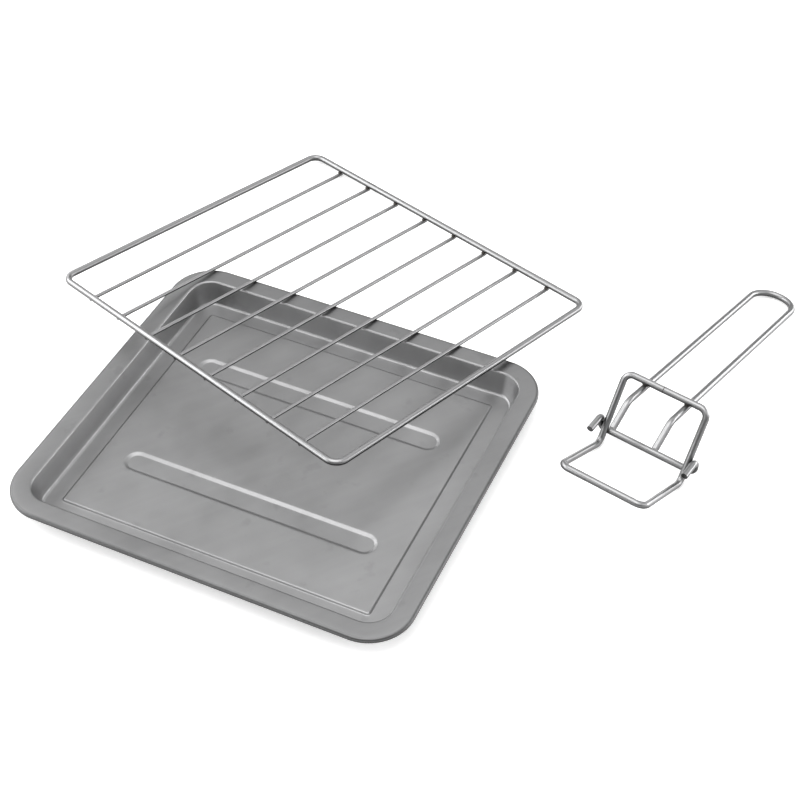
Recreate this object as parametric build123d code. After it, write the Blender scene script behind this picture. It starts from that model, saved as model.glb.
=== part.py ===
"""Tray set of a table-top oven: a pressed baking tray, the wire rack that leans on its rim and
the wire handle that lifts either of them. Millimetres, +Z up, the table at z = 0, the tray's
long side along X. The origin is the centre of the whole set's footprint on the table."""
from build123d import *
import os
from math import asin, atan2, cos, degrees, hypot, radians, sin, sqrt, tan

# Baking tray, pressed from one sheet
sheet = 0.6
tray_length = 300.0
tray_width = 275.0
tray_height = 18.7
tray_corner_radius = 32.0
lip_drop = 3.0
lip_bend_radius = 1.8
flange_width = 14.4
rim_bend_radius = 1.6
wall_run = 5.2
foot_bend_radius = 2.6
channel_corner_radius = 4.5
plateau_inset = 32.3
plateau_rise = 1.2
plateau_corner_radius = 2.5
step_angle = 50.0
rib_length = 196.0
rib_width = 18.5
rib_depth = 1.1
rib_pitch = 104.5
rib_slope_angle = 24.0
floor_edge_radius = 0.5

# Wire rack: a closed frame with thinner bars welded under it
frame_wire = 5.0
bar_wire = 2.8
rack_length = 294.5
rack_depth = 268.5
rack_corner_bend = 9.0
bar_count = 8
bar_pitch = 32.45
bar_shift = -2.2
bar_end_reach = 1.2
weld_sink = 0.3

# How the rack lies: bars on the tray's rear rim, the outermost bar's far end on the table
rack_centre_x = -38.2
rack_set_back = 6.5
rack_turn = -18.9
rim_gap = 0.3

# Tray handle: grip, jaw loop and hook rod, all of one wire
handle_wire = 5.0
jaw_width = 65.2
arm_length = 61.6
arm_angle = 154.75
leg_length = 56.0
leg_angle = 59.0
jaw_corner_bend = 6.5
jaw_knee_bend = 6.0
grip_width = 33.4
grip_reach = 217.0
grip_end_bend = 16.2
prong_knee_bend = 9.0
prong_knee_y = 4.1
prong_length = 22.0
prong_angle = 29.5
rod_height = 7.0
hook_side_gap = 0.3
hook_rise = 11.7
hook_rise_angle = 86.0
hook_length = 16.9
hook_angle = 184.0
hook_bend = 4.6

# Where the handle lies beside the tray
handle_gap_x = 82.7
handle_y = 96.8
handle_turn = -11.4


def bent_wire(points, radii, diameter):
    """Round wire along straight runs joined by tangent arcs."""
    path = FilletPolyline(*points, radius=radii)
    section = Plane(origin=path @ 0, z_dir=path % 0) * Circle(diameter / 2)
    return sweep(section, path=path)


def mirrored_loop(points, radii, diameter):
    """Closed loop of wire from its half on the +X side, which starts and ends on X = 0."""
    half = bent_wire(points, radii, diameter)
    return half + mirror(half, about=Plane.YZ)


def polar_step(start, length, angle):
    """Point in a Y-Z plane, length away from start at an angle from +Y."""
    turn = radians(angle)
    return (start[0] + length * cos(turn), start[1] + length * sin(turn))


def rim_section():
    """Section of lip, flange, wall and channel; X runs outwards from the corner's centre."""
    mid = sheet / 2
    outer = tray_corner_radius - mid
    wall_top = tray_corner_radius - flange_width
    line = FilletPolyline(
        (outer, tray_height - lip_drop),
        (outer, tray_height - mid),
        (wall_top, tray_height - mid),
        (wall_top - wall_run, mid),
        (channel_corner_radius, mid),
        radius=[lip_bend_radius - mid, rim_bend_radius, foot_bend_radius],
    )
    return trace(line, line_width=sheet)


def rim_ring():
    """The rim section run along the four sides and round the four corners."""
    upright = Plane.XZ * rim_section()
    run_x = tray_length / 2 - tray_corner_radius
    run_y = tray_width / 2 - tray_corner_radius
    end_side = extrude(upright, amount=run_y, both=True)
    long_side = Rot(0, 0, 90) * extrude(upright, amount=run_x, both=True)
    corner = revolve(upright, axis=Axis.Z, revolution_arc=90)
    pieces = []
    for half_turn in (0, 180):
        pieces.append(Rot(0, 0, half_turn) * Pos(run_x, 0, 0) * end_side)
        pieces.append(Rot(0, 0, half_turn) * Pos(0, run_y, 0) * long_side)
        pieces.append(Rot(0, 0, half_turn) * Pos(run_x, run_y, 0) * corner)
        pieces.append(Rot(0, 0, half_turn) * Pos(-run_x, run_y, 0) * Rot(0, 0, 90) * corner)
    return pieces


def floor_block(bottom):
    """Everything under the floor's upper face: channel level, raised plateau, sunk ribs."""
    inset = tray_corner_radius - channel_corner_radius
    base = RectangleRounded(tray_length - 2 * inset, tray_width - 2 * inset, channel_corner_radius)
    block = Pos(0, 0, bottom) * extrude(base, amount=sheet - bottom)
    plateau = RectangleRounded(
        tray_length - 2 * plateau_inset, tray_width - 2 * plateau_inset, plateau_corner_radius
    )
    block += Pos(0, 0, sheet) * extrude(plateau, amount=plateau_rise, taper=90 - step_angle)
    top = sheet + plateau_rise
    slot = SlotOverall(rib_length, rib_width)
    pocket = mirror(extrude(slot, amount=rib_depth, taper=90 - rib_slope_angle), about=Plane.XY)
    for side in (-1, 1):
        block -= Pos(0, side * rib_pitch / 2, top) * pocket
    sharp = [e for e in block.edges() if abs(e.center().Z - top) < 0.01]
    sharp += [e for e in block.edges() if abs(e.center().Z - top + rib_depth) < 0.01]
    return fillet(sharp, floor_edge_radius)


def baking_tray():
    """Rim ring and pressed floor as one sheet of even thickness."""
    upper = floor_block(-tray_height)
    tray = upper - Pos(0, 0, -sheet) * upper
    for piece in rim_ring():
        tray += piece
    return tray


def rack_placement():
    """Rest pose of the rack: sloped back from the tray's rear rim down to the table."""
    turn = radians(rack_turn)
    corner_x = rack_length / 2 - rack_corner_bend
    corner_y = rack_depth / 2 - rack_corner_bend
    frame_reach = corner_x * abs(sin(turn)) + corner_y * cos(turn) + rack_corner_bend
    outer_bar_x = (bar_count - 1) / 2 * bar_pitch - bar_shift
    bar_end_y = rack_depth / 2 + bar_end_reach
    bar_reach = outer_bar_x * abs(sin(turn)) + bar_end_y * cos(turn)
    bar_drop = (frame_wire + bar_wire) / 2 - weld_sink
    rim_z = tray_height - lip_bend_radius
    rim_behind = -lip_bend_radius - rack_set_back
    stack = lip_bend_radius + rim_gap + bar_wire / 2 + bar_drop
    low, high = 0.0, radians(45)
    for _ in range(60):
        tilt = (low + high) / 2
        bar_lean = sqrt(1 - (cos(turn) * sin(tilt)) ** 2)
        by_frame = frame_reach * sin(tilt) + frame_wire / 2
        by_bar = bar_reach * sin(tilt) + bar_drop * cos(tilt) + bar_wire / 2 * bar_lean
        centre_z = max(by_frame, by_bar)
        clear = (centre_z - rim_z) * cos(tilt) - rim_behind * sin(tilt) - stack
        low, high = (tilt, high) if clear < 0 else (low, tilt)
    centre = Pos(rack_centre_x, tray_width / 2 + rack_set_back, centre_z)
    return centre * Rot(-degrees(tilt), 0, 0) * Rot(0, 0, rack_turn)


def rack_frame():
    """Closed rectangle of thick wire."""
    x, y = rack_length / 2, rack_depth / 2
    half = [(0, -y, 0), (x, -y, 0), (x, y, 0), (0, y, 0)]
    return mirrored_loop(half, [rack_corner_bend, rack_corner_bend], frame_wire)


def rack_bars(frame):
    """Thin bars across the frame, welded to its underside and set to it face to face."""
    drop = (frame_wire + bar_wire) / 2 - weld_sink
    length = rack_depth + 2 * bar_end_reach
    bars = []
    for i in range(bar_count):
        x = bar_shift + (i - (bar_count - 1) / 2) * bar_pitch
        bar = Pos(x, 0, -drop) * Rot(90, 0, 0) * Cylinder(bar_wire / 2, length)
        bars.append(bar - frame)
    return bars


def handle_wires():
    """Jaw loop, grip and hook rod in the handle's own frame: the jaw's knees rest at Y = 0."""
    radius = handle_wire / 2
    reach = handle_wire - weld_sink
    half_opening = radians(arm_angle - leg_angle) / 2
    middle = radians(arm_angle + leg_angle) / 2
    knee_drop = jaw_knee_bend * (sin(middle) / sin(half_opening) - 1)
    knee = (0.0, radius - knee_drop)
    front = polar_step(knee, arm_length, arm_angle)
    top = polar_step(knee, leg_length, leg_angle)
    side = jaw_width / 2
    half = [(0, *top), (side, *top), (side, *knee), (side, *front), (0, *front)]
    jaw = mirrored_loop(half, [jaw_corner_bend, jaw_knee_bend, jaw_corner_bend], handle_wire)

    # The grip's far end lies on the table and its legs pass just under the jaw's top bar
    end = (grip_reach, radius)
    span = hypot(end[0] - top[0], top[1] - end[1])
    slope = atan2(top[1] - end[1], end[0] - top[0]) - asin(reach / span)
    prong_knee = (prong_knee_y, end[1] + (end[0] - prong_knee_y) * sin(slope) / cos(slope))
    prong_tip = polar_step(prong_knee, prong_length, 180 + prong_angle)
    half_grip = grip_width / 2
    route = [(-half_grip, *prong_tip), (-half_grip, *prong_knee), (-half_grip, *end)]
    route += [(half_grip, *end), (half_grip, *prong_knee), (half_grip, *prong_tip)]
    bends = [prong_knee_bend, grip_end_bend, grip_end_bend, prong_knee_bend]
    grip = bent_wire(route, bends, handle_wire) - jaw

    # The rod lies across the back of the jaw's legs and turns up into a hook at each end
    leg = radians(leg_angle)
    rod = ((rod_height - knee[1]) / tan(leg) + reach / sin(leg), rod_height)
    hook_top = polar_step(rod, hook_rise, hook_rise_angle)
    hook_tip = polar_step(hook_top, hook_length, hook_angle)
    wide = side + handle_wire + hook_side_gap
    route = [(-wide, *hook_tip), (-wide, *hook_top), (-wide, *rod)]
    route += [(wide, *rod), (wide, *hook_top), (wide, *hook_tip)]
    hooks = bent_wire(route, [hook_bend] * 4, handle_wire) - jaw
    return {"jaw_loop": jaw, "grip_wire": grip, "hook_rod": hooks}


def tray_set():
    """Every piece of the set where it lies, about the middle of its footprint."""
    pieces = {"baking_tray": baking_tray()}
    rack_place = rack_placement()
    frame = rack_frame()
    pieces["rack_frame"] = rack_place * frame
    for number, bar in enumerate(rack_bars(frame), start=1):
        pieces[f"rack_bar_{number}"] = rack_place * bar
    handle_place = Pos(tray_length / 2 + handle_gap_x, handle_y, 0) * Rot(0, 0, handle_turn)
    for name, wire in handle_wires().items():
        pieces[name] = handle_place * wire
    box = Compound(list(pieces.values())).bounding_box()
    to_origin = Pos(-box.center().X, -box.center().Y, 0)
    return {name: to_origin * piece for name, piece in pieces.items()}


os.makedirs("parts", exist_ok=True)
for node, piece in tray_set().items():
    export_step(piece, f"parts/{node}.step")
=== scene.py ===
"""Finished surfaces of an oven's tray set: a baking tray, a wire rack and a wire tray handle."""
from math import atan2, asin, cos, hypot, pi, radians, sin, tan

import bmesh
import bpy
import numpy as np
from bpy.props import FloatProperty, FloatVectorProperty, IntProperty, PointerProperty
from mathutils import Matrix, Vector, geometry, noise


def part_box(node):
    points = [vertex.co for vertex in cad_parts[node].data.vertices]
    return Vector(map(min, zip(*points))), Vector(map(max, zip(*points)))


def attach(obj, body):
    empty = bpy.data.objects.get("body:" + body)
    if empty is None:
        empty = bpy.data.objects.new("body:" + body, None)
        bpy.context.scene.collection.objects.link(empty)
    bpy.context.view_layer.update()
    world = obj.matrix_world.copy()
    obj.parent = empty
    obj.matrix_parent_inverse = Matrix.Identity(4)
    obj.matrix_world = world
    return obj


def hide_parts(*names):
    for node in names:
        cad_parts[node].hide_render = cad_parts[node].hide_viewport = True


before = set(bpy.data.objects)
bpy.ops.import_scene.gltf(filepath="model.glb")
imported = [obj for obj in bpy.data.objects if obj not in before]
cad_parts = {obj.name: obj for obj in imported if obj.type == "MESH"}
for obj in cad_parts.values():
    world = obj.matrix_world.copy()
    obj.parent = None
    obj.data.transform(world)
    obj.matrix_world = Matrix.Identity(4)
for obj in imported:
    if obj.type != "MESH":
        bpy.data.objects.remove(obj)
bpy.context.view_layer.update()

bl_info = {
    "name": "Oven tray set",
    "version": (1, 0, 0),
    "blender": (4, 5, 0),
    "location": "3D View > Sidebar > Oven tray set",
    "description": "Finished surfaces for a baking tray, a wire rack and a wire tray handle",
    "category": "Object",
}

MM = 0.001
BARS = sorted(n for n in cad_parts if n.startswith("rack_bar_"))
TRAY_LOW, TRAY_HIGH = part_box("baking_tray")
TRAY_CENTRE = (TRAY_LOW + TRAY_HIGH) / 2
TRAY_SIZE = TRAY_HIGH - TRAY_LOW

# Patterns on the metals: each scale is in cells per metre
CLOUD_SCALE = 14.0
STREAK_SCALE = 9.0
STREAK_STRETCH = (0.06, 1.0, 1.0)
STREAK_TURN = radians(-38)
STAIN_SCALE = 55.0
STAIN_EDGES = (0.62, 0.70)
SHEEN_SCALE = 40.0
GRAIN_SCALE = 1800.0
GRAIN_DEPTH = 0.00002

# The tray's flange is darker than its flats, and its rolled edge carries a painted shade
FLANGE_TONE = 0.84
EDGE_SHADE = 0.40
EDGE_START = 2.4 * MM
EDGE_END = 0.8 * MM

# Cut ends of wire draw in over a short way to a share of the radius
END_TRIM = 0.0004
END_SCALE = 0.84

# Weld beads are lumpy by a share of their first size
LUMP_SCALE = 900.0
LUMP_SHARE = 0.35


class TraySizes(bpy.types.PropertyGroup):
    """Sizes of the pressed tray."""

    sheet: FloatProperty(
        name="Sheet", description="Thickness of the steel sheet", default=0.0006, unit="LENGTH",
    )
    corner_radius: FloatProperty(
        name="Corner radius", description="Radius of the tray's corners in plan",
        default=0.032, unit="LENGTH",
    )
    lip_drop: FloatProperty(
        name="Lip", description="How far the rim's lip turns down", default=0.003, unit="LENGTH",
    )
    flange: FloatProperty(
        name="Flange", description="Width of the flat flange", default=0.0144, unit="LENGTH",
    )
    wall_run: FloatProperty(
        name="Wall run", description="How far the wall leans in on its way down",
        default=0.0052, unit="LENGTH",
    )
    plateau_inset: FloatProperty(
        name="Plateau inset", description="From the rim to the foot of the raised floor",
        default=0.0323, unit="LENGTH",
    )
    plateau_rise: FloatProperty(
        name="Plateau rise", description="How far the floor stands over its channel",
        default=0.0012, unit="LENGTH",
    )
    rib_length: FloatProperty(
        name="Rib length", description="Length of each sunk rib over all", default=0.196, unit="LENGTH",
    )
    rib_width: FloatProperty(
        name="Rib width", description="Width of each sunk rib over all", default=0.0185, unit="LENGTH",
    )
    rib_depth: FloatProperty(
        name="Rib depth", description="Depth of each sunk rib", default=0.0011, unit="LENGTH",
    )
    rib_pitch: FloatProperty(
        name="Rib pitch", description="Distance between the two ribs", default=0.1045, unit="LENGTH",
    )
    waviness: FloatProperty(
        name="Waviness", description="How far the thin floor is out of flat", default=0.00016, unit="LENGTH",
    )


class WireSizes(bpy.types.PropertyGroup):
    """Sizes of the rack's and the handle's wires."""

    frame_wire: FloatProperty(
        name="Frame wire", description="Diameter of the rack's frame", default=0.005, unit="LENGTH",
    )
    bar_wire: FloatProperty(
        name="Bar wire", description="Diameter of the rack's bars", default=0.0028, unit="LENGTH",
    )
    handle_wire: FloatProperty(
        name="Handle wire", description="Diameter of the handle's wire", default=0.005, unit="LENGTH",
    )
    weld_sink: FloatProperty(
        name="Weld sink", description="How far two wires sink into each other", default=0.0003, unit="LENGTH",
    )
    sides: IntProperty(
        name="Sides", description="Faces round a wire", default=32, min=8,
    )


class Finishes(bpy.types.PropertyGroup):
    """Colours of the metals and of the stage."""

    sheet_colour: FloatVectorProperty(
        name="Sheet", description="Rolled steel of the tray", subtype="COLOR", default=(0.35, 0.35, 0.353),
    )
    wire_colour: FloatVectorProperty(
        name="Wire", description="Bright plated wire", subtype="COLOR", default=(0.38, 0.38, 0.384),
    )
    # Heat-marked weld metal, near black partly as painted shade where wires cross
    weld_and_shade_colour: FloatVectorProperty(
        name="Weld", description="Heat-marked metal at a weld", subtype="COLOR", default=(0.06, 0.055, 0.05),
    )
    floor_colour: FloatVectorProperty(
        name="Floor", description="Plain pale floor", subtype="COLOR", default=(0.93, 0.93, 0.93),
    )


def link(obj):
    """Puts an object in the scene."""
    bpy.context.scene.collection.objects.link(obj)
    return obj


def filleted(points, radii, steps=10, closed=False):
    """Straight runs joined by tangent arcs, as a list of points; an end keeps its point."""
    pts = [Vector(p) for p in points]
    count = len(pts)
    corners = range(count) if closed else range(1, count - 1)
    out = [] if closed else [pts[0]]
    for radius, i in zip(radii, corners):
        here, before, after = pts[i], pts[i - 1], pts[(i + 1) % count]
        a, b = (before - here).normalized(), (after - here).normalized()
        half = a.angle(b) / 2
        centre = here + (a + b).normalized() * (radius / sin(half))
        start = here + a * (radius / tan(half)) - centre
        end = here + b * (radius / tan(half)) - centre
        sweep = start.angle(end)
        for k in range(steps + 1):
            t = k / steps
            arc = (start * sin((1 - t) * sweep) + end * sin(t * sweep)) / sin(sweep)
            out.append(centre + arc)
    if not closed:
        out.append(pts[-1])
    return out


def mesh_object(name, mesh, material):
    """A smooth-shaded object at the origin with one material."""
    for polygon in mesh.polygons:
        polygon.use_smooth = True
    mesh.materials.clear()
    mesh.materials.append(material)
    return link(bpy.data.objects.new(name, mesh))


def finished(obj, name, material, place=None):
    """The evaluated shape of obj as a plain mesh object of its own; obj is removed."""
    bpy.context.view_layer.update()
    evaluated = obj.evaluated_get(bpy.context.evaluated_depsgraph_get())
    mesh = bpy.data.meshes.new_from_object(evaluated)
    mesh.name = name
    data = obj.data
    bpy.data.objects.remove(obj)
    if isinstance(data, bpy.types.Curve):
        bpy.data.curves.remove(data)
    if place is not None:
        mesh.transform(place)
    return mesh_object(name, mesh, material)


class NodeMaker:
    """Adds and links nodes in a tree."""

    def __init__(self, tree):
        self.tree = tree

    def add(self, kind, **values):
        node = self.tree.nodes.new(kind)
        for key, value in values.items():
            setattr(node, key, value)
        return node

    def join(self, source, target):
        self.tree.links.new(source, target)


def metal(
    name, colour, roughness, spread, grain=0.0, streaks=0.0, tone=0.0, stains=0.0, facing=None, rim=None
):
    """Bare metal: cloudy tone, stretched rolling marks and a fine grain, all in the piece's own space.

    tone, streaks and stains are the shares by which each pattern changes the colour, and grain is the
    strength of the bump. facing holds two heights of the surface's own normal and the tone under the
    lower one: painted shade, darker on sides and undersides. rim holds a rounded rectangle's centre,
    how far its corners' centres are from that, and steps of (start, end, tone), which are distances
    from the nearest corner's centre and the tone after them."""
    material = bpy.data.materials.new(name)
    material.use_nodes = True
    make = NodeMaker(material.node_tree)
    shader = material.node_tree.nodes["Principled BSDF"]
    shader.inputs["Metallic"].default_value = 1.0
    place = make.add("ShaderNodeTexCoord")

    def pattern(scale, stretch=(1, 1, 1), turn=0.0, detail=3.0):
        mapping = make.add("ShaderNodeMapping")
        mapping.vector_type = "TEXTURE"
        mapping.inputs["Location"].default_value = rim[0] if rim else (0, 0, 0)
        mapping.inputs["Rotation"].default_value = (0, 0, turn)
        mapping.inputs["Scale"].default_value = stretch
        texture = make.add("ShaderNodeTexNoise")
        texture.inputs["Scale"].default_value = scale
        texture.inputs["Detail"].default_value = detail
        make.join(place.outputs["Object"], mapping.inputs["Vector"])
        make.join(mapping.outputs["Vector"], texture.inputs["Vector"])
        return texture.outputs["Fac"]

    def ranged(value, low, high, start=0.3, end=0.7):
        span = make.add("ShaderNodeMapRange")
        for key, number in (("From Min", start), ("From Max", end), ("To Min", low), ("To Max", high)):
            span.inputs[key].default_value = number
        make.join(value, span.inputs["Value"])
        return span.outputs["Result"]

    def product(a, b):
        times = make.add("ShaderNodeMath", operation="MULTIPLY")
        make.join(a, times.inputs[0])
        make.join(b, times.inputs[1])
        return times.outputs["Value"]

    cloud = pattern(CLOUD_SCALE, detail=4.0)
    light = product(
        ranged(cloud, 1 - tone, 1 + tone),
        ranged(pattern(STREAK_SCALE, STREAK_STRETCH, STREAK_TURN, 2.0), 1 - streaks, 1 + streaks * 0.5),
    )
    if stains:
        light = product(light, ranged(pattern(STAIN_SCALE, detail=5.0), 1.0, 1 - stains, *STAIN_EDGES))
    # Painted shade: the colour darkens as the surface's normal turns away from up, on sides and undersides
    if facing:
        low, high, under = facing
        split = make.add("ShaderNodeSeparateXYZ")
        make.join(place.outputs["Normal"], split.inputs["Vector"])
        light = product(light, ranged(split.outputs["Z"], under, 1.0, low, high))
    if rim:
        centre, corner, steps = rim
        value = place.outputs["Object"]
        for operation, other in (
            ("SUBTRACT", centre), ("ABSOLUTE", None), ("SUBTRACT", corner),
            ("MAXIMUM", (0, 0, 0)), ("MULTIPLY", (1, 1, 0)), ("LENGTH", None),
        ):
            step = make.add("ShaderNodeVectorMath", operation=operation)
            make.join(value, step.inputs[0])
            if other:
                step.inputs[1].default_value = other
            value = step.outputs["Value" if operation == "LENGTH" else "Vector"]
        for start, end, after in steps:
            light = product(light, ranged(value, 1.0, after, start, end))
    tint = make.add("ShaderNodeVectorMath", operation="SCALE")
    tint.inputs[0].default_value = colour
    make.join(light, tint.inputs["Scale"])
    make.join(tint.outputs["Vector"], shader.inputs["Base Color"])
    sheen = ranged(pattern(SHEEN_SCALE), roughness - spread, roughness + spread)
    make.join(sheen, shader.inputs["Roughness"])
    if grain:
        bump = make.add("ShaderNodeBump")
        bump.inputs["Strength"].default_value = grain
        bump.inputs["Distance"].default_value = GRAIN_DEPTH
        make.join(pattern(GRAIN_SCALE, detail=1.0), bump.inputs["Height"])
        make.join(bump.outputs["Normal"], shader.inputs["Normal"])
    return material


def sheet_metal():
    """The tray's rolled steel, dull, with clouds and faint slanting marks, a darker flange, and painted shade
    on its rolled edge, walls and undersides.
    """
    colour = bpy.context.scene.tray_set_finishes.sheet_colour
    sizes = bpy.context.scene.tray_set_tray
    radius = sizes.corner_radius
    corner = (TRAY_SIZE.x / 2 - radius, TRAY_SIZE.y / 2 - radius, 0)
    flange = radius - sizes.flange
    # The flange's darker tone, then the painted shade on the rolled edge
    steps = (
        (flange - MM, flange + MM, FLANGE_TONE),
        (radius - EDGE_START, radius - EDGE_END, EDGE_SHADE),
    )
    rim = ((TRAY_CENTRE.x, TRAY_CENTRE.y, 0), corner, steps)
    return cached(
        "rolled_steel", colour, roughness=0.39, spread=0.03, grain=0.2,
        streaks=0.03, tone=0.08, stains=0.10, facing=(0.0, 0.3, 0.30), rim=rim,
    )


def wire_metal():
    """Bright plated wire, with painted shade on its sides and undersides."""
    colour = bpy.context.scene.tray_set_finishes.wire_colour
    return cached("plated_wire", colour, roughness=0.31, spread=0.02, tone=0.04, facing=(0.0, 0.9, 0.12))


def weld_and_shade_metal():
    """Heat-marked weld metal, near black partly as painted shade where wires cross."""
    colour = bpy.context.scene.tray_set_finishes.weld_and_shade_colour
    return cached("weld_mark", colour, roughness=0.45, spread=0.08, grain=0.4, tone=0.25)


def cached(name, colour, **look):
    """The metal of that name, made once."""
    return bpy.data.materials.get(name) or metal(name, colour, **look)


def new_tree(name, inputs):
    """A Geometry Nodes tree with named inputs; returns the tree, a node maker and its group input."""
    tree = bpy.data.node_groups.new(name, "GeometryNodeTree")
    tree.interface.new_socket("Geometry", in_out="INPUT", socket_type="NodeSocketGeometry")
    for label, kind, value in inputs:
        socket = tree.interface.new_socket(label, in_out="INPUT", socket_type=kind)
        if value is not None:
            socket.default_value = value
    tree.interface.new_socket("Geometry", in_out="OUTPUT", socket_type="NodeSocketGeometry")
    make = NodeMaker(tree)
    return tree, make, make.add("NodeGroupInput")


def close_tree(make, start, shape):
    """Ends a tree in smooth, real geometry with its material."""
    smooth = make.add("GeometryNodeSetShadeSmooth")
    real = make.add("GeometryNodeRealizeInstances")
    paint = make.add("GeometryNodeSetMaterial")
    make.join(shape, real.inputs["Geometry"])
    make.join(real.outputs["Geometry"], smooth.inputs["Geometry"])
    make.join(smooth.outputs["Geometry"], paint.inputs["Geometry"])
    make.join(start.outputs["Material"], paint.inputs["Material"])
    make.join(paint.outputs["Geometry"], make.add("NodeGroupOutput").inputs["Geometry"])


def round_profile(make, start):
    """A circle of the wire's radius."""
    circle = make.add("GeometryNodeCurvePrimitiveCircle", mode="RADIUS")
    make.join(start.outputs["Wire radius"], circle.inputs["Radius"])
    make.join(start.outputs["Sides"], circle.inputs["Resolution"])
    return circle.outputs["Curve"]


WIRE_INPUTS = [
    ("Wire radius", "NodeSocketFloat", 0.0025),
    ("Sides", "NodeSocketInt", 32),
    ("Material", "NodeSocketMaterial", None),
]


def swept(make, start):
    """The object's own path as a round wire with closed ends."""
    sweep = make.add("GeometryNodeCurveToMesh")
    sweep.inputs["Fill Caps"].default_value = True
    make.join(start.outputs["Geometry"], sweep.inputs["Curve"])
    make.join(round_profile(make, start), sweep.inputs["Profile Curve"])
    return sweep.outputs["Mesh"]


def wire_tree():
    """Sweeps a round wire along the object's own path."""
    tree, make, start = new_tree("Wire along a path", WIRE_INPUTS)
    close_tree(make, start, swept(make, start))
    return tree


def bars_tree():
    """A row of equal straight wires, made from one path and stepped along X."""
    inputs = WIRE_INPUTS + [
        ("Count", "NodeSocketInt", 8),
        ("Pitch", "NodeSocketFloat", 0.03),
        ("First", "NodeSocketFloat", 0.0),
    ]
    tree, make, start = new_tree("Row of wires", inputs)
    wire = swept(make, start)
    row = make.add("GeometryNodeMeshLine", mode="OFFSET")
    for target, label in (("Offset", "Pitch"), ("Start Location", "First")):
        along = make.add("ShaderNodeCombineXYZ")
        make.join(start.outputs[label], along.inputs["X"])
        make.join(along.outputs["Vector"], row.inputs[target])
    make.join(start.outputs["Count"], row.inputs["Count"])
    spread = make.add("GeometryNodeInstanceOnPoints")
    make.join(row.outputs["Mesh"], spread.inputs["Points"])
    make.join(wire, spread.inputs["Instance"])
    close_tree(make, start, spread.outputs["Instances"])
    return tree


def beads_tree():
    """A squashed, uneven bead of weld metal at each point of the object."""
    inputs = [
        ("Size", "NodeSocketVector", (0.001, 0.001, 0.001)),
        ("Unevenness", "NodeSocketFloat", 0.0002),
        ("Material", "NodeSocketMaterial", None),
    ]
    tree, make, start = new_tree("Weld beads", inputs)
    ball = make.add("GeometryNodeMeshIcoSphere")
    ball.inputs["Radius"].default_value = 1.0
    ball.inputs["Subdivisions"].default_value = 3
    spread = make.add("GeometryNodeInstanceOnPoints")
    make.join(start.outputs["Geometry"], spread.inputs["Points"])
    make.join(ball.outputs["Mesh"], spread.inputs["Instance"])
    make.join(start.outputs["Size"], spread.inputs["Scale"])
    real = make.add("GeometryNodeRealizeInstances")
    make.join(spread.outputs["Instances"], real.inputs["Geometry"])
    rough = make.add("ShaderNodeTexNoise")
    rough.inputs["Scale"].default_value = LUMP_SCALE
    rough.inputs["Detail"].default_value = 1.0
    centred = make.add("ShaderNodeVectorMath", operation="SUBTRACT")
    centred.inputs[1].default_value = (0.5, 0.5, 0.5)
    shift = make.add("ShaderNodeVectorMath", operation="SCALE")
    make.join(rough.outputs["Color"], centred.inputs[0])
    make.join(centred.outputs["Vector"], shift.inputs[0])
    make.join(start.outputs["Unevenness"], shift.inputs["Scale"])
    push = make.add("GeometryNodeSetPosition")
    make.join(real.outputs["Geometry"], push.inputs["Geometry"])
    make.join(shift.outputs["Vector"], push.inputs["Offset"])
    close_tree(make, start, push.outputs["Geometry"])
    return tree


def with_nodes(obj, tree, values):
    """Gives obj a Geometry Nodes modifier, with its inputs set by their identifiers."""
    modifier = obj.modifiers.new(tree.name, "NODES")
    modifier.node_group = tree
    for item in tree.interface.items_tree:
        if item.in_out == "INPUT" and item.name in values:
            modifier[item.identifier] = values[item.name]
    return obj


def path_object(name, points, closed=False):
    """A path as a curve object; the ends of an open one are drawn in a little, as cut wire is."""
    curve = bpy.data.curves.new(name, "CURVE")
    curve.dimensions = "3D"
    if not closed:
        head, tail = points[0], points[-1]
        second = head + (points[1] - head).normalized() * END_TRIM
        last_but_one = tail + (points[-2] - tail).normalized() * END_TRIM
        points = [head, second] + points[1:-1] + [last_but_one, tail]
    spline = curve.splines.new("POLY")
    spline.points.add(len(points) - 1)
    for point, place in zip(spline.points, points):
        point.co = (*place, 1.0)
    spline.use_cyclic_u = closed
    if not closed:
        spline.points[0].radius = spline.points[-1].radius = END_SCALE
    return link(bpy.data.objects.new(name, curve))


def points_object(name, places):
    """A mesh with nothing but points."""
    mesh = bpy.data.meshes.new(name)
    mesh.from_pydata([tuple(p) for p in places], [], [])
    return link(bpy.data.objects.new(name, mesh))


def bent_wire(name, points, radii, diameter, place, body, node, closed=False):
    """A plated wire along filleted runs that stands for a CAD node."""
    sizes = bpy.context.scene.tray_set_wires
    path = path_object(name + "_path", filleted(points, radii, closed=closed), closed)
    values = {"Wire radius": diameter / 2, "Sides": sizes.sides, "Material": wire_metal()}
    piece = finished(with_nodes(path, wire_tree(), values), name, wire_metal(), place)
    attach(piece, body)
    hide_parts(node)
    return piece


def weld_beads(name, places, size, place, body):
    """Beads of weld metal at these points."""
    dots = points_object(name + "_places", places)
    values = {"Size": size, "Unevenness": size[0] * LUMP_SHARE, "Material": weld_and_shade_metal()}
    piece = finished(with_nodes(dots, beads_tree(), values), name, weld_and_shade_metal(), place)
    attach(piece, body)
    return piece


def node_points(node):
    """The vertices of a CAD node, as an array."""
    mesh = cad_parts[node].data
    co = np.zeros(len(mesh.vertices) * 3)
    mesh.vertices.foreach_get("co", co)
    return co.reshape(-1, 3)


def long_axis(points):
    """The direction in which a cloud of points is longest."""
    return Vector(np.linalg.svd(points - points.mean(0), full_matrices=False)[2][0])


def basis(x, y, origin):
    """A placement with these X and Y directions."""
    z = x.cross(y)
    turn = Matrix((x, y, z)).transposed().to_4x4()
    return Matrix.Translation(origin) @ turn


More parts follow.
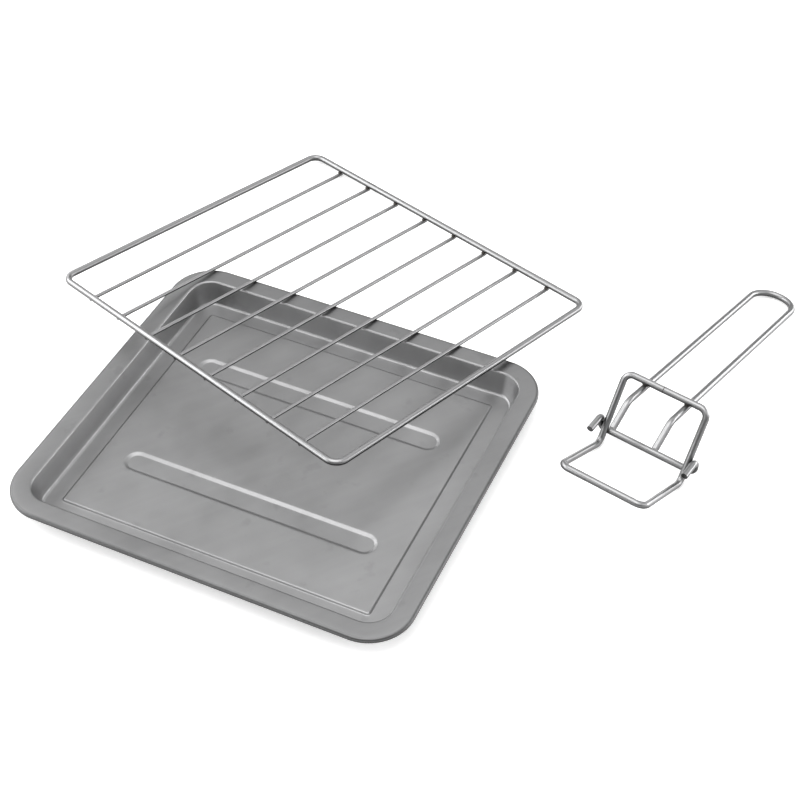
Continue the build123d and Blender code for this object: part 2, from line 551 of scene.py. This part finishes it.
def local_bounds(node, place):
    """Lowest and highest corner of a CAD node in the space of a placement."""
    inverse = np.array(place.inverted())
    points = node_points(node) @ inverse[:3, :3].T + inverse[:3, 3]
    return points.min(0), points.max(0)


def box_ramp(distance, run, blend):
    """0 before a slope and 1 after it, straight between, with both edges rounded over blend."""

    def area(t):
        t = max(t, 0.0)
        return t * t / (2 * run) if t < run else t - run / 2

    return (area(distance + blend) - area(distance - blend)) / (2 * blend)


class TrayForm:
    """The tray's middle surface, in metres about its own centre."""

    # How finely each stretch is divided; STEP_PLACES are in runs of the raised floor's step
    SIDE_STEP = 0.005
    PROFILE_STEP = 0.004
    BEND_STEPS = 8
    CORNER_STEPS = 16
    RIB_END_STEPS = 24
    RIB_SIDE_STEPS = 36
    GRID = 0.0035
    STEP_PLACES = (-2.0, -0.4, -0.15, 0.15, 0.4, 0.6, 0.85, 1.15, 1.4, 2.4)

    # Bends, corners and slopes of the middle surface
    LIP_BEND = 0.0015
    RIM_BEND = 0.0016
    FOOT_BEND = 0.0026
    CHANNEL_CORNER = 0.0045
    PLATEAU_CORNER = 0.0025
    STEP_RUN = 0.0012
    EDGE_BLEND = 0.00035
    RIB_RUN = 0.00247

    # How far the loops round a rib's slope reach past it
    RIB_OUTSIDE = 0.0015
    RIB_INSIDE = 0.0012

    # Floor waves as (cells per metre, slice of the noise, share), calm near the rim
    WAVES = ((16, 3.1, 1.0), (45, 7.7, 0.25))
    CALM_INSET = 0.018
    CALM_RUN = 0.03

    # Points nearer than MERGE become one, edges under SLIVER go, and a face whose normal's Z is
    # under TURNED_OVER is turned round
    MERGE = 2e-6
    SLIVER = 1e-7
    TURNED_OVER = -0.2

    def __init__(self, sizes):
        self.sizes = sizes
        self.half = sizes.sheet / 2
        self.top = self.half + sizes.plateau_rise
        self.size_x, self.size_y, self.height = TRAY_SIZE
        self.steps_x = round((self.size_x - 2 * sizes.corner_radius) / self.SIDE_STEP)
        self.steps_y = round((self.size_y - 2 * sizes.corner_radius) / self.SIDE_STEP)

    def profile(self):
        """(inset, height) from the lip's edge to the plateau."""
        s, up = self.sizes, self.height - self.half
        channel_end = s.corner_radius - self.CHANNEL_CORNER
        corners = [
            (self.half, self.height - s.lip_drop),
            (self.half, up),
            (s.flange, up),
            (s.flange + s.wall_run, self.half),
            (channel_end, self.half),
        ]
        bends = (self.LIP_BEND, self.RIM_BEND, self.FOOT_BEND)
        line = filleted([(x, z, 0) for x, z in corners], bends, steps=self.BEND_STEPS)
        points = [(line[0].x, line[0].y)]
        for before, after in zip(line, line[1:]):
            pieces = max(1, round((after - before).length / self.PROFILE_STEP))
            for k in range(1, pieces + 1):
                at = before.lerp(after, k / pieces)
                points.append((at.x, at.y))
        for place in self.STEP_PLACES:
            inset = s.plateau_inset + place * self.STEP_RUN
            rise = box_ramp(inset - s.plateau_inset, self.STEP_RUN, self.EDGE_BLEND)
            points.append((inset, self.half + s.plateau_rise * rise))
        return points

    def corner_at(self, inset):
        """Corner radius of the ring at an inset."""
        s = self.sizes
        tightest = self.PLATEAU_CORNER - self.STEP_RUN
        channel_end = s.corner_radius - self.CHANNEL_CORNER
        if inset <= channel_end:
            return s.corner_radius - inset
        if inset <= s.plateau_inset:
            across = (inset - channel_end) / (s.plateau_inset - channel_end)
            return self.CHANNEL_CORNER + (self.PLATEAU_CORNER - self.CHANNEL_CORNER) * across
        return max(tightest, self.PLATEAU_CORNER - (inset - s.plateau_inset))

    def ring(self, inset):
        """Points round the tray at an inset from its rim, anticlockwise."""
        radius = self.corner_at(inset)
        x, y = self.size_x / 2 - inset, self.size_y / 2 - inset
        cx, cy = x - radius, y - radius
        sides = [((x, -cy), (x, cy), self.steps_y), ((cx, y), (-cx, y), self.steps_x)]
        sides += [((-x, cy), (-x, -cy), self.steps_y), ((-cx, -y), (cx, -y), self.steps_x)]
        centres = [(cx, cy), (-cx, cy), (-cx, -cy), (cx, -cy)]
        points = []
        for quarter, ((a, b, steps), centre) in enumerate(zip(sides, centres)):
            for k in range(steps):
                points.append((a[0] + (b[0] - a[0]) * k / steps, a[1] + (b[1] - a[1]) * k / steps))
            for k in range(self.CORNER_STEPS):
                turn = pi / 2 * (quarter + k / self.CORNER_STEPS)
                points.append((centre[0] + radius * cos(turn), centre[1] + radius * sin(turn)))
        return points

    def inside_rib(self, x, y, side):
        """How far a point is inside the outer edge of one rib."""
        s = self.sizes
        run_out = max(abs(x) - (s.rib_length - s.rib_width) / 2, 0.0)
        return s.rib_width / 2 - hypot(run_out, y - side * s.rib_pitch / 2)

    def rib_depth_at(self, x, y):
        """How deep the sunk ribs are at a point."""
        depth = 0.0
        for side in (-1, 1):
            inside = self.inside_rib(x, y, side)
            depth += self.sizes.rib_depth * box_ramp(inside, self.RIB_RUN, self.EDGE_BLEND)
        return depth

    def rib_ring(self, side, inside):
        """A loop round one rib, so far inside its outer edge."""
        s = self.sizes
        radius = s.rib_width / 2 - inside
        straight = (s.rib_length - s.rib_width) / 2
        middle = side * s.rib_pitch / 2
        loop = []
        for end in (1, -1):
            for k in range(self.RIB_END_STEPS + 1):
                turn = -pi / 2 * end + pi * k / self.RIB_END_STEPS
                loop.append((end * straight + radius * cos(turn), middle + radius * sin(turn)))
            for k in range(1, self.RIB_SIDE_STEPS):
                along = 1 - 2 * k / self.RIB_SIDE_STEPS
                loop.append((end * straight * along, middle + end * radius))
        return loop

    def plateau(self, edge):
        """Points and triangles of the raised floor inside a ring."""
        blend, run = self.EDGE_BLEND, self.RIB_RUN
        insides = (-self.RIB_OUTSIDE, -blend, 0, blend, run / 2)
        insides += (run - blend, run, run + blend, run + self.RIB_INSIDE)
        loops = [edge]
        for side in (-1, 1):
            for inside in insides:
                loops.append(self.rib_ring(side, inside))
        points, edges = [], []
        for loop in loops:
            first = len(points)
            points += loop
            edges += [(first + k, first + (k + 1) % len(loop)) for k in range(len(loop))]
        x_end = max(p[0] for p in edge) - self.GRID / 2
        y_end = max(p[1] for p in edge) - self.GRID / 2
        for x in np.arange(-x_end, x_end, self.GRID):
            for y in np.arange(-y_end, y_end, self.GRID):
                if self.clear_of_rib(x, y):
                    points.append((x, y))
        outline = [list(range(len(edge)))]
        inside_only = 1
        flat = [Vector(p) for p in points]
        result = geometry.delaunay_2d_cdt(flat, edges, outline, inside_only, self.SLIVER)
        return result[0], result[2]

    def clear_of_rib(self, x, y):
        """Whether a floor point is away from the loops round the ribs."""
        low, high = -2 * self.RIB_OUTSIDE, self.RIB_RUN + 2 * self.RIB_INSIDE
        return not any(low < self.inside_rib(x, y, side) < high for side in (-1, 1))

    def unevenness(self, x, y):
        """The thin floor's slight waves, which die out towards the rim."""
        calm = 1.0
        for half, at in ((self.size_x / 2, x), (self.size_y / 2, y)):
            calm *= min(1.0, max(0.0, (half - self.CALM_INSET - abs(at)) / self.CALM_RUN))
        waves = 0.0
        for scale, cut, share in self.WAVES:
            waves += share * noise.noise(Vector((x * scale, y * scale, cut)))
        return self.sizes.waviness * calm * waves

    def mesh(self):
        """The whole middle surface as one mesh."""
        form = bmesh.new()
        profile = self.profile()
        rings = []
        for inset, height in profile:
            ring = []
            for x, y in self.ring(inset):
                ring.append(form.verts.new((x, y, height + self.unevenness(x, y))))
            rings.append(ring)
        for outer, inner in zip(rings, rings[1:]):
            for k in range(len(outer)):
                n = (k + 1) % len(outer)
                form.faces.new((outer[k], outer[n], inner[n], inner[k]))
        innermost = profile[-1][0]
        points, triangles = self.plateau(self.ring(innermost))
        floor = []
        for x, y in points:
            height = self.top - self.rib_depth_at(x, y) + self.unevenness(x, y)
            floor.append(form.verts.new((x, y, height)))
        for corners in triangles:
            form.faces.new([floor[k] for k in corners])
        bmesh.ops.remove_doubles(form, verts=form.verts[:], dist=self.MERGE)
        bmesh.ops.dissolve_degenerate(form, edges=form.edges[:], dist=self.SLIVER)
        for face in form.faces:
            face.normal_update()
        turned = [f for f in form.faces if f.normal.z < self.TURNED_OVER]
        bmesh.ops.reverse_faces(form, faces=turned)
        mesh = bpy.data.meshes.new("tray_middle")
        form.to_mesh(mesh)
        form.free()
        return mesh


class TRAYSET_OT_tray(bpy.types.Operator):
    """Press the baking tray out of one sheet"""

    bl_idname = "tray_set.tray"
    bl_label = "Baking tray"

    def execute(self, context):
        sizes = context.scene.tray_set_tray
        shell = mesh_object("tray_shell", TrayForm(sizes).mesh(), sheet_metal())
        thick = shell.modifiers.new("Sheet", "SOLIDIFY")
        thick.thickness = sizes.sheet
        thick.offset = 0.0
        thick.use_even_offset = True
        thick.use_quality_normals = True
        place = Matrix.Translation((TRAY_CENTRE.x, TRAY_CENTRE.y, TRAY_LOW.z))
        piece = finished(shell, "pressed_tray", sheet_metal(), place)
        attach(piece, "tray")
        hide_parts("baking_tray")
        return {"FINISHED"}


class TRAYSET_OT_rack(bpy.types.Operator):
    """Bend the rack's frame, lay its bars under it and weld them"""

    bl_idname = "tray_set.rack"
    bl_label = "Wire rack"

    FRAME_BEND = 0.009
    TUCK = 0.0012
    BEAD = (0.0019, 0.0012, 0.0012)

    # Where a bead sits: shares of the frame's wire in from it, and of the bar's wire over it
    BEAD_INSET = 0.50
    BEAD_RISE = 0.55

    def execute(self, context):
        sizes = context.scene.tray_set_wires
        first, last = node_points(BARS[0]), node_points(BARS[-1])
        y = long_axis(first)
        y = y if y.y > 0 else -y
        x = Vector(last.mean(0) - first.mean(0))
        x = (x - y * x.dot(y)).normalized()
        place = basis(x, y, Vector((0, 0, 0)))
        low, high = local_bounds("rack_frame", place)
        place = place @ Matrix.Translation(Vector((low + high) / 2))
        half_x = (high[0] - low[0] - sizes.frame_wire) / 2
        half_y = (high[1] - low[1] - sizes.frame_wire) / 2
        corners = [(half_x, -half_y, 0), (half_x, half_y, 0), (-half_x, half_y, 0), (-half_x, -half_y, 0)]
        bends = [self.FRAME_BEND] * 4
        bent_wire("frame_wire", corners, bends, sizes.frame_wire, place, "rack", "rack_frame", closed=True)

        spans = [local_bounds(node, place) for node in BARS]
        middles = [(low + high) / 2 for low, high in spans]
        half_bar = (spans[0][1][1] - spans[0][0][1]) / 2
        pitch = (middles[-1][0] - middles[0][0]) / (len(BARS) - 1)
        drop = -(sizes.frame_wire + sizes.bar_wire) / 2 + sizes.weld_sink
        ends = [Vector((0, side * (half_bar - self.TUCK), drop)) for side in (-1, 1)]
        path = path_object("bar_path", ends)
        values = {"Wire radius": sizes.bar_wire / 2, "Sides": sizes.sides, "Material": wire_metal()}
        values.update({"Count": len(BARS), "Pitch": pitch, "First": middles[0][0]})
        bars = finished(with_nodes(path, bars_tree(), values), "rack_bars", wire_metal(), place)
        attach(bars, "rack")
        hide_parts(*BARS)

        meet = half_y - sizes.frame_wire * self.BEAD_INSET
        low_side = drop + sizes.bar_wire * self.BEAD_RISE
        dots = [(m[0], side * meet, low_side) for m in middles for side in (-1, 1)]
        weld_beads("rack_welds", dots, self.BEAD, place, "rack")
        return {"FINISHED"}


class HandleSizes(bpy.types.PropertyGroup):
    """Bends and runs of the tray handle."""

    jaw_width: FloatProperty(
        name="Jaw width", description="Between the jaw's two sides", default=0.0652, unit="LENGTH",
    )
    arm_length: FloatProperty(
        name="Arm", description="From knee to front bar", default=0.0616, unit="LENGTH",
    )
    arm_angle: FloatProperty(
        name="Arm angle", description="Of the arms, from level behind",
        default=radians(154.75), subtype="ANGLE",
    )
    leg_length: FloatProperty(
        name="Leg", description="From knee to top bar", default=0.056, unit="LENGTH",
    )
    leg_angle: FloatProperty(
        name="Leg angle", description="Of the legs, from level behind",
        default=radians(59.0), subtype="ANGLE",
    )
    jaw_bend: FloatProperty(
        name="Jaw bend", description="Radius of the jaw's corners", default=0.0065, unit="LENGTH",
    )
    knee_bend: FloatProperty(
        name="Knee bend", description="Radius of the jaw's knees", default=0.006, unit="LENGTH",
    )
    grip_width: FloatProperty(
        name="Grip width", description="Between the grip's two sides", default=0.0334, unit="LENGTH",
    )
    grip_reach: FloatProperty(
        name="Grip reach", description="From the knees to the grip's end", default=0.217, unit="LENGTH",
    )
    prong_length: FloatProperty(
        name="Prong", description="Length of each free prong", default=0.022, unit="LENGTH",
    )
    prong_angle: FloatProperty(
        name="Prong angle", description="Fall of the prongs", default=radians(29.5), subtype="ANGLE",
    )
    hook_rise: FloatProperty(
        name="Hook rise", description="Height of each hook over its rod", default=0.0117, unit="LENGTH",
    )
    hook_length: FloatProperty(
        name="Hook length", description="Reach of each hook", default=0.0169, unit="LENGTH",
    )


def polar_step(start, length, angle):
    """A point in the handle's side view, length away at an angle from level behind."""
    return (start[0] + length * cos(angle), start[1] + length * sin(angle))


class TRAYSET_OT_handle(bpy.types.Operator):
    """Bend the tray handle's three wires and weld them"""

    bl_idname = "tray_set.handle"
    bl_label = "Tray handle"

    GRIP_END_BEND = 0.0162
    PRONG_BEND = 0.009
    PRONG_KNEE_Y = 0.0041
    ROD_HEIGHT = 0.007
    HOOK_GAP = 0.0003
    HOOK_RISE_ANGLE = radians(86.0)
    HOOK_ANGLE = radians(184.0)
    HOOK_BEND = 0.0046
    BUTT_WELD_X = -0.0025
    BEAD = (0.0026, 0.0017, 0.0017)
    BUTT_BEAD = (0.0008, 0.00272, 0.00272)

    def execute(self, context):
        s = context.scene.tray_set_handle
        wire = context.scene.tray_set_wires.handle_wire
        radius, reach = wire / 2, wire - context.scene.tray_set_wires.weld_sink
        half_opening, middle = (s.arm_angle - s.leg_angle) / 2, (s.arm_angle + s.leg_angle) / 2
        knee = (0.0, radius - s.knee_bend * (sin(middle) / sin(half_opening) - 1))
        front = polar_step(knee, s.arm_length, s.arm_angle)
        top = polar_step(knee, s.leg_length, s.leg_angle)

        x = long_axis(node_points("hook_rod"))
        x = (Vector((x.x, x.y, 0)) * (1 if x.x > 0 else -1)).normalized()
        place = basis(x, Vector((-x.y, x.x, 0)), Vector((0, 0, 0)))
        low, high = local_bounds("jaw_loop", place)
        place = place @ Matrix.Translation(((low[0] + high[0]) / 2, low[1] - (front[0] - radius), low[2]))

        side = s.jaw_width / 2
        half = [(side, *top), (side, *knee), (side, *front)]
        loop = half + [(-across, back, up) for across, back, up in reversed(half)]
        bends = [s.jaw_bend, s.knee_bend, s.jaw_bend, s.jaw_bend, s.knee_bend, s.jaw_bend]
        bent_wire("jaw_wire", loop, bends, wire, place, "handle", "jaw_loop", closed=True)

        end = (s.grip_reach, radius)
        span = hypot(end[0] - top[0], top[1] - end[1])
        slope = atan2(top[1] - end[1], end[0] - top[0]) - asin(reach / span)
        prong_knee = (self.PRONG_KNEE_Y, end[1] + (end[0] - self.PRONG_KNEE_Y) * tan(slope))
        tip = polar_step(prong_knee, s.prong_length, pi + s.prong_angle)
        half_grip = s.grip_width / 2
        route = [(-half_grip, *tip), (-half_grip, *prong_knee), (-half_grip, *end)]
        route += [(half_grip, *end), (half_grip, *prong_knee), (half_grip, *tip)]
        bends = [self.PRONG_BEND, self.GRIP_END_BEND, self.GRIP_END_BEND, self.PRONG_BEND]
        bent_wire("grip", route, bends, wire, place, "handle", "grip_wire")

        rod = ((self.ROD_HEIGHT - knee[1]) / tan(s.leg_angle) + reach / sin(s.leg_angle), self.ROD_HEIGHT)
        hook_top = polar_step(rod, s.hook_rise, self.HOOK_RISE_ANGLE)
        hook_tip = polar_step(hook_top, s.hook_length, self.HOOK_ANGLE)
        wide = side + wire + self.HOOK_GAP
        route = [(-wide, *hook_tip), (-wide, *hook_top), (-wide, *rod)]
        route += [(wide, *rod), (wide, *hook_top), (wide, *hook_tip)]
        bent_wire("hooks", route, [self.HOOK_BEND] * 4, wire, place, "handle", "hook_rod")

        under_top = (top[0] - reach / 2 * sin(slope), top[1] - reach / 2 * cos(slope))
        on_leg = (rod[0] - reach / 2 * sin(s.leg_angle), rod[1] + reach / 2 * cos(s.leg_angle))
        dots = [(hand * half_grip, *under_top) for hand in (-1, 1)]
        dots += [(hand * side, *on_leg) for hand in (-1, 1)]
        weld_beads("handle_welds", dots, self.BEAD, place, "handle")
        weld_beads("butt_weld", [(self.BUTT_WELD_X, *top)], self.BUTT_BEAD, place, "handle")
        return {"FINISHED"}


class StageSizes(bpy.types.PropertyGroup):
    """Camera and lights."""

    focal_length: FloatProperty(
        name="Lens", description="Focal length in mm on a 36 mm sensor", default=72.24,
    )
    azimuth: FloatProperty(
        name="Azimuth", description="Heading of the view, from +Y towards +X",
        default=radians(-24.39), subtype="ANGLE",
    )
    elevation: FloatProperty(
        name="Elevation", description="How steeply the view looks down",
        default=radians(45.33), subtype="ANGLE",
    )
    roll: FloatProperty(
        name="Roll", description="Turn of the camera about its view", default=radians(0.40), subtype="ANGLE",
    )
    camera_offset: FloatVectorProperty(
        name="Camera", description="From the tray's centre on the table to the camera",
        default=(0.3956, -0.6722, 0.8387), subtype="TRANSLATION",
    )
    floor_glow: FloatProperty(
        name="Floor glow", description="Light that the floor gives off itself", default=0.4,
    )
    brightness: FloatProperty(
        name="Brightness", description="Scales the power of every softbox", default=1.22,
    )


class TRAYSET_OT_stage(bpy.types.Operator):
    """Set up the pale floor, the softboxes and the camera"""

    bl_idname = "tray_set.stage"
    bl_label = "Stage"

    SENSOR_WIDTH = 36.0
    NEAREST = 0.01
    FLOOR_DROP = 0.0004
    FLOOR_REACH = 6.0
    FLOOR_ROUGHNESS = 0.9
    SKY_LOW = 0.26
    SKY_HIGH = 0.66

    # Name, place from the table under the tray's centre, size, and power in watts
    SOFTBOXES = (
        ("overhead_softbox", (-0.1, -0.1, 2.0), (1.7, 1.7), 14.0),
        ("camera_softbox", (0.35, -1.0, 1.7), (2.0, 1.2), 5.0),
        ("left_softbox", (-1.7, 0.0, 1.1), (1.6, 1.2), 16.0),
        ("left_front_softbox", (-1.6, -1.4, 0.8), (1.6, 1.0), 16.0),
        ("right_softbox", (1.8, 0.1, 1.1), (1.4, 1.2), 5.0),
        ("right_back_softbox", (1.9, 1.6, 0.45), (2.4, 0.8), 24.0),
        ("back_softbox", (0.1, 1.6, 1.5), (1.8, 1.0), 2.5),
        ("left_back_softbox", (-1.7, 1.5, 0.95), (1.0, 0.6), 3.5),
    )

    def execute(self, context):
        stage = context.scene.tray_set_stage
        self.floor(context)
        self.sky(context.scene)
        foot = Vector((TRAY_CENTRE.x, TRAY_CENTRE.y, 0))
        for name, place, size, power in self.SOFTBOXES:
            self.softbox(name, foot + Vector(place), size, power * stage.brightness)
        camera = bpy.data.cameras.new("camera")
        camera.lens = stage.focal_length
        camera.sensor_width = self.SENSOR_WIDTH
        camera.clip_start = self.NEAREST
        camera.dof.use_dof = False
        seat = link(bpy.data.objects.new("camera", camera))
        level = cos(stage.elevation)
        ahead = Vector((sin(stage.azimuth) * level, cos(stage.azimuth) * level, -sin(stage.elevation)))
        turn = ahead.to_track_quat("-Z", "Y").to_matrix().to_4x4() @ Matrix.Rotation(stage.roll, 4, "Z")
        seat.matrix_world = Matrix.Translation(foot + Vector(stage.camera_offset)) @ turn
        context.scene.camera = seat
        context.scene.view_settings.view_transform = "Standard"
        return {"FINISHED"}

    def floor(self, context):
        """A plain pale sheet under everything, which gives off a little light itself."""
        mesh = bpy.data.meshes.new("floor")
        far, z = self.FLOOR_REACH, -self.FLOOR_DROP
        corners = [(-far, -far, z), (far, -far, z), (far, far, z), (-far, far, z)]
        mesh.from_pydata(corners, [], [(0, 1, 2, 3)])
        material = bpy.data.materials.new("pale_floor")
        material.use_nodes = True
        shader = material.node_tree.nodes["Principled BSDF"]
        shader.inputs["Base Color"].default_value = (*context.scene.tray_set_finishes.floor_colour, 1.0)
        shader.inputs["Roughness"].default_value = self.FLOOR_ROUGHNESS
        shader.inputs["Emission Color"].default_value = (1.0, 1.0, 1.0, 1.0)
        shader.inputs["Emission Strength"].default_value = context.scene.tray_set_stage.floor_glow
        mesh.materials.append(material)
        link(bpy.data.objects.new("floor", mesh))

    def sky(self, scene):
        """A studio's surroundings: dim at the horizon, brighter overhead."""
        world = bpy.data.worlds.new("studio")
        world.use_nodes = True
        scene.world = world
        make = NodeMaker(world.node_tree)
        place = make.add("ShaderNodeTexCoord")
        split = make.add("ShaderNodeSeparateXYZ")
        rise = make.add("ShaderNodeMapRange")
        rise.inputs["To Min"].default_value = self.SKY_LOW
        rise.inputs["To Max"].default_value = self.SKY_HIGH
        make.join(place.outputs["Generated"], split.inputs["Vector"])
        make.join(split.outputs["Z"], rise.inputs["Value"])
        background = world.node_tree.nodes["Background"]
        make.join(rise.outputs["Result"], background.inputs["Color"])

    def softbox(self, name, place, size, power):
        """A rectangular light that faces the tray."""
        light = bpy.data.lights.new(name, "AREA")
        light.shape = "RECTANGLE"
        light.size, light.size_y = size
        light.energy = power
        lamp = link(bpy.data.objects.new(name, light))
        aim = Vector((TRAY_CENTRE.x, TRAY_CENTRE.y, 0)) - place
        lamp.matrix_world = Matrix.Translation(place) @ aim.to_track_quat("-Z", "Y").to_matrix().to_4x4()


class TRAYSET_PT_panel(bpy.types.Panel):
    """Sizes, finishes and the pieces that can be built"""

    bl_label = "Oven tray set"
    bl_space_type = "VIEW_3D"
    bl_region_type = "UI"
    bl_category = "Oven tray set"

    def draw(self, context):
        for group, kind in GROUPS.items():
            box = self.layout.box()
            for name in kind.__annotations__:
                box.prop(getattr(context.scene, group), name)
        for operator in OPERATORS:
            self.layout.operator(operator.bl_idname)


GROUPS = {
    "tray_set_tray": TraySizes,
    "tray_set_wires": WireSizes,
    "tray_set_handle": HandleSizes,
    "tray_set_finishes": Finishes,
    "tray_set_stage": StageSizes,
}
OPERATORS = (TRAYSET_OT_tray, TRAYSET_OT_rack, TRAYSET_OT_handle, TRAYSET_OT_stage)


def register():
    """Adds the classes, and a group of settings to the scene for each PropertyGroup."""
    for kind in (*GROUPS.values(), *OPERATORS, TRAYSET_PT_panel):
        bpy.utils.register_class(kind)
    for name, kind in GROUPS.items():
        setattr(bpy.types.Scene, name, PointerProperty(type=kind))


def unregister():
    """Takes the settings and the classes away again."""
    for name in GROUPS:
        delattr(bpy.types.Scene, name)
    for kind in (TRAYSET_PT_panel, *reversed(OPERATORS), *reversed(GROUPS.values())):
        bpy.utils.unregister_class(kind)


def main():
    """Builds every piece and the stage."""
    register()
    bpy.ops.tray_set.tray()
    bpy.ops.tray_set.rack()
    bpy.ops.tray_set.handle()
    bpy.ops.tray_set.stage()


if __name__ == "__main__":
    main()
